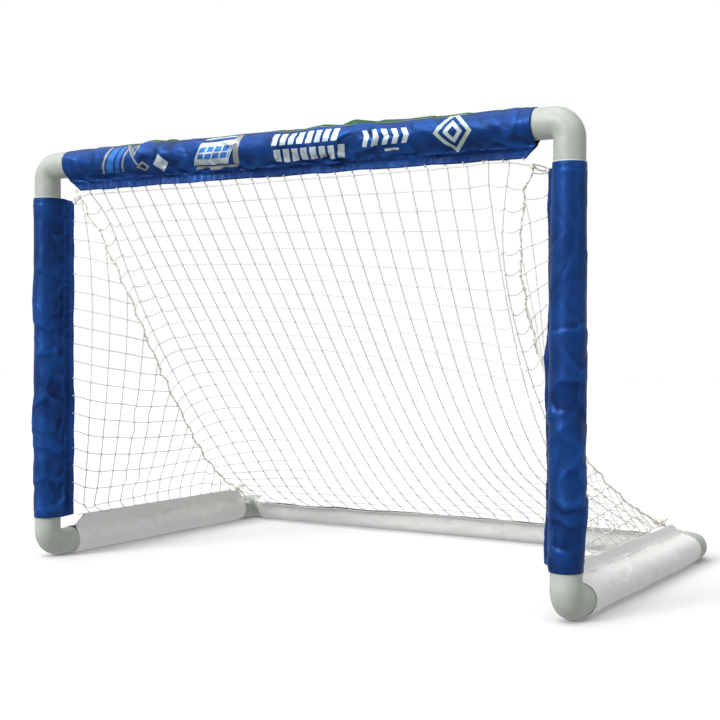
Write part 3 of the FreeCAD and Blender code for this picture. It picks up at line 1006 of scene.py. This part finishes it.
for r in range(ROWS + 1):
    for c in range(COLUMNS + 1):
        if c < COLUMNS and 0 < r < ROWS:
            net.string(back[r, c], back[r, c + 1], MESH)
        if r < ROWS and 0 < c < COLUMNS:
            give = LEFT_CUT + RIGHT_EXTRA * (c / COLUMNS) ** 2.5
            net.string(back[r, c], back[r + 1, c], STUB if r == 0 else MESH * give)
print("back panel knots", back.size)

# %% Knots of the side panels

SIDE_ROWS = 18
ROW_DROP = 0.020
side_lines = {-1: [], 1: []}
side_top_z = TOP_Z - 0.046
rail_edge_z = BASE_Z + (RAIL_REACH + EDGE_GAP) * math.sin(RAIL_FLAP_TILT)


def post_flap_edge(side, hand, gap):
    """Spot just off the edge of a post's flap, at height 0."""
    return np.array([hand * POST_X, FRONT_Y, 0]) + np.array(post_way[side]) * (POST_REACH + gap)


for side, hand in (("left", -1), ("right", 1)):
    post_edge = post_flap_edge(side, hand, EDGE_GAP)
    rail_edge_x = hand * POST_X - hand * (RAIL_REACH + EDGE_GAP) * math.cos(RAIL_FLAP_TILT)
    seam_z = fine_seam[hand][:, 2]
    rows = []
    for j in range(SIDE_ROWS + 1):
        down = j / SIDE_ROWS
        z = side_top_z + (rail_edge_z - side_top_z) * down
        drop = ROW_DROP * math.sin(math.pi * down)
        share = float(np.interp(-(z - drop), -seam_z, fine_share))
        on_post = np.array([post_edge[0], post_edge[1], z])
        on_seam = seam_point(hand, share)
        if j == SIDE_ROWS:
            on_post = np.array([rail_edge_x, post_edge[1] + 0.020, rail_edge_z])
            on_seam = seam_point(hand, 1.0)
            on_seam[2] = rail_edge_z
        reach = np.linalg.norm(on_seam - on_post) / MESH
        rows.append((on_post, on_seam, reach, share))
    knots = {}
    for j, (on_post, on_seam, reach, share) in enumerate(rows):
        last = max(int(reach - 0.25), 0)
        line = []
        for i in range(last + 1):
            place = on_post + (on_seam - on_post) * (i / max(reach, 1e-6))
            knots[j, i] = net.knot(place, i == 0 or j == SIDE_ROWS)
            line.append(knots[j, i])
        end = net.knot(on_seam, True)
        for i in range(last):
            if j < SIDE_ROWS:
                net.string(line[i], line[i + 1], MESH)
        if j < SIDE_ROWS:
            net.string(line[-1], end, (reach - last) * MESH * 1.02)
        side_lines[hand].append(line + [end])
    widest = max(i for _, i in knots)
    for i in range(1, widest + 1):
        column = [j for j in range(SIDE_ROWS + 1) if (j, i) in knots]
        top = column[0]
        over, under = rows[top - 1], rows[top]
        part = (i - over[2]) / max(under[2] - over[2], 1e-6)
        share = over[3] + (under[3] - over[3]) * min(max(part, 0.0), 1.0)
        on_seam = seam_point(hand, share)
        end = net.knot(on_seam, True)
        net.string(end, knots[top, i], max(np.linalg.norm(on_seam - net.knots[knots[top, i]]), 0.004))
        for j in column[:-1]:
            net.string(knots[j, i], knots[j + 1, i], MESH)
        side_lines[hand].append([end] + [knots[j, i] for j in column])
print("all knots", len(net.knots), "strings", len(net.strings))

# %% Let the net hang
places = net.settle(steps=260, rounds=14, pull=0.00006, seed=4)
lowest = places[:, 2].min()
known = {}
for first, second, length in net.strings:
    known[first, second] = length
    known[second, first] = length
print("net settled, lowest knot", round(float(lowest), 4))

# %% [markdown]
# ## Twine
# A string is drawn as a thin round cord through its knots. Between two knots it
# sags by about the length that it has to spare, and each knot is a small
# irregular bead. Curves could be bevelled instead, but one mesh for all strings
# of a panel is simple to make and carries twist coordinates for the finish.

# %% Draw cords through points


def through(points, parts):
    """Smooth line through points, with some parts between each two."""
    points = np.asarray(points, float)
    if len(points) < 3:
        share = np.linspace(0, 1, parts + 1)[:, None]
        return points[0] * (1 - share) + points[-1] * share
    padded = np.concatenate([[2 * points[0] - points[1]], points, [2 * points[-1] - points[-2]]])
    p0, p1, p2, p3 = padded[:-3], padded[1:-2], padded[2:-1], padded[3:]
    t = (np.arange(parts) / parts)[:, None, None]
    curve = 0.5 * (
        2 * p1 + (p2 - p0) * t + (2 * p0 - 5 * p1 + 4 * p2 - p3) * t ** 2
        + (3 * p1 - p0 - 3 * p2 + p3) * t ** 3
    )
    return np.concatenate([curve.transpose(1, 0, 2).reshape(-1, 3), points[-1:]])


def frames_along(line):
    """Two directions square to a line at each of its points."""
    way = np.gradient(line, axis=0)
    way /= np.maximum(np.linalg.norm(way, axis=1), 1e-12)[:, None]
    guide = np.array([0.0, 0.0, 1.0]) if abs(way[0, 2]) < 0.8 else np.array([0.0, 1.0, 0.0])
    first = np.zeros_like(line)
    for k in range(len(line)):
        guide = guide - way[k] * guide.dot(way[k])
        guide /= max(np.linalg.norm(guide), 1e-9)
        first[k] = guide
    return first, np.cross(way, first)


class Cords:
    """Many round cords in one mesh, with cloth coordinates for their twist."""

    def __init__(self, sides):
        self.sides = sides
        self.points = []
        self.faces = []
        self.uv = []
        self.count = 0

    def add(self, line, radius):
        line = np.asarray(line, float)
        radius = np.broadcast_to(radius, (len(line),))
        first, second = frames_along(line)
        turn = np.arange(self.sides) * 2 * math.pi / self.sides
        ring = np.cos(turn)[None, :, None] * first[:, None] + np.sin(turn)[None, :, None] * second[:, None]
        tube = line[:, None] + ring * radius[:, None, None]
        run = run_along(line)
        start = self.count
        self.points.append(tube.reshape(-1, 3))
        for k in range(len(line) - 1):
            for s in range(self.sides):
                a = start + k * self.sides + s
                b = start + k * self.sides + (s + 1) % self.sides
                self.faces.append((a, b, b + self.sides, a + self.sides))
                left, right = s / self.sides, (s + 1) / self.sides
                self.uv += [(run[k], left), (run[k], right), (run[k + 1], right), (run[k + 1], left)]
        for k, step in ((0, -1), (len(line) - 1, 1)):
            loop = [start + k * self.sides + s for s in range(self.sides)][::step]
            self.faces.append(tuple(loop))
            self.uv += [(run[k], 0.0)] * self.sides
        self.count += tube.shape[0] * self.sides

    def bead(self, centre, radius, way, rng):
        """Small knot: a squashed ball, turned along the string."""
        way = np.asarray(way, float)
        steps = np.array([-1.0, -0.72, -0.1, 0.55, 1.0])
        swell = np.array([0.30, 0.80, 1.0, 0.85, 0.30]) * radius * rng.uniform(0.85, 1.15, 5)
        line = np.asarray(centre) + steps[:, None] * way * radius * 1.15
        self.add(line, swell)

    def piece(self, name, material, slot):
        return new_piece(name, np.concatenate(self.points), self.faces, material, np.array(self.uv))


TWINE_R = 0.00060
KNOT_R = 0.00145
LOOP_R = 0.0015
MOST_BOW = 0.0045
PARTS = 4


def slack_line(knots, lengths, rng):
    """Line through settled knots that bows where a string has length to spare."""
    points = places[knots]
    line = through(points, PARTS)
    for k in range(len(knots) - 1):
        gap = np.linalg.norm(points[k + 1] - points[k])
        spare = max(lengths[k] - gap, 0.0)
        bow = min(math.sqrt(3 * gap * spare / 8), MOST_BOW)
        way = (points[k + 1] - points[k]) / max(gap, 1e-9)
        side = rng.normal(0, 0.45, 3) + np.array([0, 0, -1.0])
        side -= way * side.dot(way)
        side /= max(np.linalg.norm(side), 1e-9)
        for m in range(1, PARTS):
            share = m / PARTS
            line[k * PARTS + m] += side * bow * 4 * share * (1 - share)
    return line


def twine_panel(name, lines, knots, node, seed, loops=()):
    """One panel of the net; loops hold it to the edges of the flaps."""
    cords = Cords(6)
    rng = np.random.default_rng(seed)
    for line in lines:
        lengths = [known.get(pair, 0.0) for pair in zip(line[:-1], line[1:])]
        cords.add(slack_line(line, lengths, rng), TWINE_R * rng.uniform(0.94, 1.08))
    for knot, way in knots:
        cords.bead(places[knot], KNOT_R, way, rng)
    for place, out, beside in loops:
        around = np.linspace(0, 2 * math.pi, 9)[:, None]
        size = LOOP_R * rng.uniform(0.85, 1.2)
        ring = size * (np.cos(around) * np.asarray(out) + np.sin(around) * np.asarray(beside) * 0.7)
        cords.add(np.asarray(place) - np.asarray(out) * 0.0003 + ring, TWINE_R * 0.8)
    piece = cords.piece(name, twine.material, "net_twine")
    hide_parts(node)


# %% Finish the twine


def twisted(name, dark, light, turns):
    """Twisted fibre: strands run round the cord as it goes along."""
    finish = Finish(name, Roughness=0.8, Sheen_Weight=0.2, Sheen_Roughness=0.5)
    run, turn = finish.uv()
    strand = ((turn * (2 * math.pi) + run * (2 * math.pi * turns)) * 2).sine()
    fuzz = finish.noise(finish.place(), 900.0, 2.0)
    stain = finish.noise(finish.place(), 30.0, 3.0)
    tint = finish.mix(stain.ease(0.3, 0.7), dark, light)
    # The grooves between the strands get painted shade, 0.7 of the dark tone
    finish.set("Base Color", finish.mix((strand < -0.6) * 0.25, tint, tuple(c * 0.7 for c in dark)))
    finish.bump(strand + fuzz, 0.0001, 0.4)
    return finish


twine = twisted("net_twine", (0.68, 0.67, 0.63), (0.78, 0.77, 0.73), 160.0)
seam_twine = twisted("seam_cord", (0.74, 0.72, 0.63), (0.88, 0.86, 0.78), 110.0)

# %% Tie the back panel
lines = [back[r, :].tolist() for r in range(1, ROWS)]
lines += [back[:, c].tolist() for c in range(1, COLUMNS)]
down = np.array([0.0, 0.0, -1.0])
knots = [(back[r, c], down) for r in range(1, ROWS) for c in range(1, COLUMNS)]
loops = [(places[back[0, c]], (0, 0, -1), (0, 1, 0)) for c in range(COLUMNS + 1)]
rear_side = np.cross((1, 0, 0), rear_way)
loops += [(places[back[ROWS, c]], rear_way, rear_side) for c in range(COLUMNS + 1)]
twine_panel("net_back_twine", lines, knots, "net_back_panel", 31, loops)

# %% Tie the side panels
for side, hand in (("left", -1), ("right", 1)):
    inner = sorted({k for line in side_lines[hand] for k in line if not net.held[k]})
    knots = [(k, down) for k in inner]
    post_side = np.cross((0, 0, 1), post_way[side])
    loops = [(places[line[0]], post_way[side], post_side) for line in side_lines[hand][:SIDE_ROWS]]
    twine_panel(
        "net_%s_twine" % side, side_lines[hand], knots, "net_%s_side_panel" % side, 40 + hand, loops,
    )

# %% [markdown]
# ## Stitches
# Two rows of machine stitches hold each sleeve: one closes the tunnel and one
# runs near the free edge. The thread is close to the cloth in colour. Each
# stitch is a short arched cord, so it catches light in a close view; a bump in
# the cloth would be cheaper but flat.

# %% Sew the stitches
STITCH = 0.0031
STITCH_GAP = 0.0011
THREAD_R = 0.00021
thread = {
    "blue_cloth": Finish("blue_thread", Base_Color=(0.012, 0.060, 0.260, 1), Roughness=0.45),
    "white_cloth": Finish("white_thread", Base_Color=(0.78, 0.79, 0.77, 1), Roughness=0.5),
}
for spool in thread.values():
    lint = spool.noise(spool.place(), 700.0, 2.0)
    spool.set("Roughness", 0.40 + 0.3 * lint)
    spool.bump(lint, 0.00005, 0.5)


def stitch_row(cords, line, outward):
    """Stitches along a line of points on the cloth."""
    run = run_along(line)
    for begin in np.arange(0.003, run[-1] - 0.006, STITCH + STITCH_GAP):
        steps = begin + STITCH * np.array([0.0, 0.25, 0.75, 1.0])
        spots = np.stack([np.interp(steps, run, line[:, k]) for k in range(3)], 1)
        lift = np.stack([np.interp(steps, run, outward[:, k]) for k in range(3)], 1)
        cords.add(spots + lift * np.array([-0.0001, 0.0002, 0.0002, -0.0001])[:, None], THREAD_R)


for node, cloth in sewn.items():
    cords = Cords(5)
    slot = cloth["slot"]
    grid, across = cloth["points"], cloth["across"]
    for hand in (-1, 1):
        for out in (cloth["seam"] + 0.0012, cloth["half"] - 0.0024):
            column = int(np.argmin(np.abs(across - hand * out)))
            line = grid[:, column]
            step = grid[:, column + 1] - grid[:, column - 1]
            way = np.gradient(line, axis=0)
            outward = np.cross(way, step)
            outward /= np.maximum(np.linalg.norm(outward, axis=1), 1e-12)[:, None]
            other = grid[:, int(np.argmin(np.abs(across + hand * out)))]
            outward *= np.sign(np.sum(outward * (line - other), axis=1))[:, None]
            stitch_row(cords, line, outward)
    cords.piece(node.replace("_sleeve", "_stitches"), thread[slot].material, slot)
print("stitched", len(sewn), "sleeves")

# %% [markdown]
# ## Laced seams and ties
# A thicker cream cord laces each side panel to the back panel. It steps from
# knot to knot, so it wanders a little to each side, and a second strand winds
# round it. Short ends tie the corners to the flaps and to the rear elbows.

# %% Lace the seams
SEAM_CORD_R = 0.00085
WINDING_R = 0.0006
WINDING_OUT = 0.0011
SEAM_KNOT_R = 0.0019
TIE_R = 0.0011
STRAND_R = 0.0009
HITCH_OUT = 0.0188
HITCH_TURN = math.radians(30)


def ring(cords, spot, radius, thickness, tilt, shift):
    """One turn of cord round a spot, tilted about x and then shifted."""
    around = np.linspace(0, 2 * math.pi, 15)
    rise = radius * np.sin(around)
    turn = np.stack([radius * np.cos(around), rise * math.cos(tilt), rise * math.sin(tilt)], 1)
    cords.add(spot + (turn + np.array(shift)), thickness)


for side, hand in (("left", -1), ("right", 1)):
    rng = np.random.default_rng(60 + hand)
    spots = []
    for number, run in enumerate(np.arange(0.0, SEAM_LENGTH, MESH / 2)):
        share = float(np.interp(run, seam_run, fine_share))
        sway = 0.0009 * (-1) ** (number // 2) + rng.normal(0, 0.0006)
        spots.append(seam_point(hand, share) + np.array([sway, sway * 0.7, rng.normal(0, 0.0005)]))
    spots.append(seam_point(hand, 1.0))
    line = through(spots, 6)
    cords = Cords(8)
    cords.add(line, SEAM_CORD_R)
    first, second = frames_along(line)
    coil = np.arange(len(line)) * 0.75
    winding = np.cos(coil)[:, None] * first + np.sin(coil)[:, None] * second
    cords.add(line + WINDING_OUT * winding, WINDING_R)
    for number in range(2, len(spots) - 1, 2):
        cords.bead(spots[number], SEAM_KNOT_R, np.array([0.3 * hand, 0.5, -0.8]), rng)
    piece = cords.piece("%s_seam_lacing" % side, seam_twine.material, "seam_cord")
    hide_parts(side + "_seam_cord")

    post_edge = post_flap_edge(side, hand, 0.001)
    seam_top = seam_point(hand, 0.0)
    post_top = np.array([post_edge[0], post_edge[1], TOP_Z - 0.0440])
    cords = Cords(8)
    slump = (seam_top + post_top) / 2 + np.array([0, 0, -0.002])
    cords.add(through([seam_top, slump, post_top], 8), TIE_R)
    cords.add(through([
        seam_top + [0, -0.001, 0.001], slump + [0, -0.002, 0.0045], post_top + [0, -0.001, 0.002],
    ], 8), STRAND_R)
    for spot in (seam_top, post_top):
        for turn in range(3):
            ring(cords, spot, 0.0019, STRAND_R, rng.uniform(-0.4, 0.4), (0, 0, (turn - 1) * 0.0015))
    piece = cords.piece("top_%s_knots" % side, seam_twine.material, "seam_cord")
    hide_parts("top_%s_tie" % side)

    foot = seam_point(hand, 1.0)
    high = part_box("rear_%s_tie" % side)[1]
    in_x, up_z = HITCH_OUT * math.cos(HITCH_TURN), HITCH_OUT * math.sin(HITCH_TURN)
    hitch = np.array([hand * (POST_X - in_x), high.y - 0.0025, BASE_Z + up_z])
    cords = Cords(8)
    middle_spot = (foot + hitch) / 2 + np.array([-hand * 0.002, 0, 0.001])
    cords.add(through([foot, middle_spot, hitch], 8), TIE_R)
    foot_knot = foot + np.array([-hand * 0.003, -0.007, 0.0065])
    for spot, turns, wide in ((foot_knot, 11, 0.0048), (hitch, 4, 0.0021)):
        for turn in range(turns):
            tilt = rng.uniform(-0.9, 0.9)
            radius = wide * rng.uniform(0.8, 1.1)
            shift = (turn - turns / 2) * np.array([0.0004, 0.0014, 0.0005])
            ring(cords, spot, radius, TIE_R, tilt, shift)
    piece = cords.piece("rear_%s_knots" % side, seam_twine.material, "seam_cord")
    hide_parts("rear_%s_tie" % side)
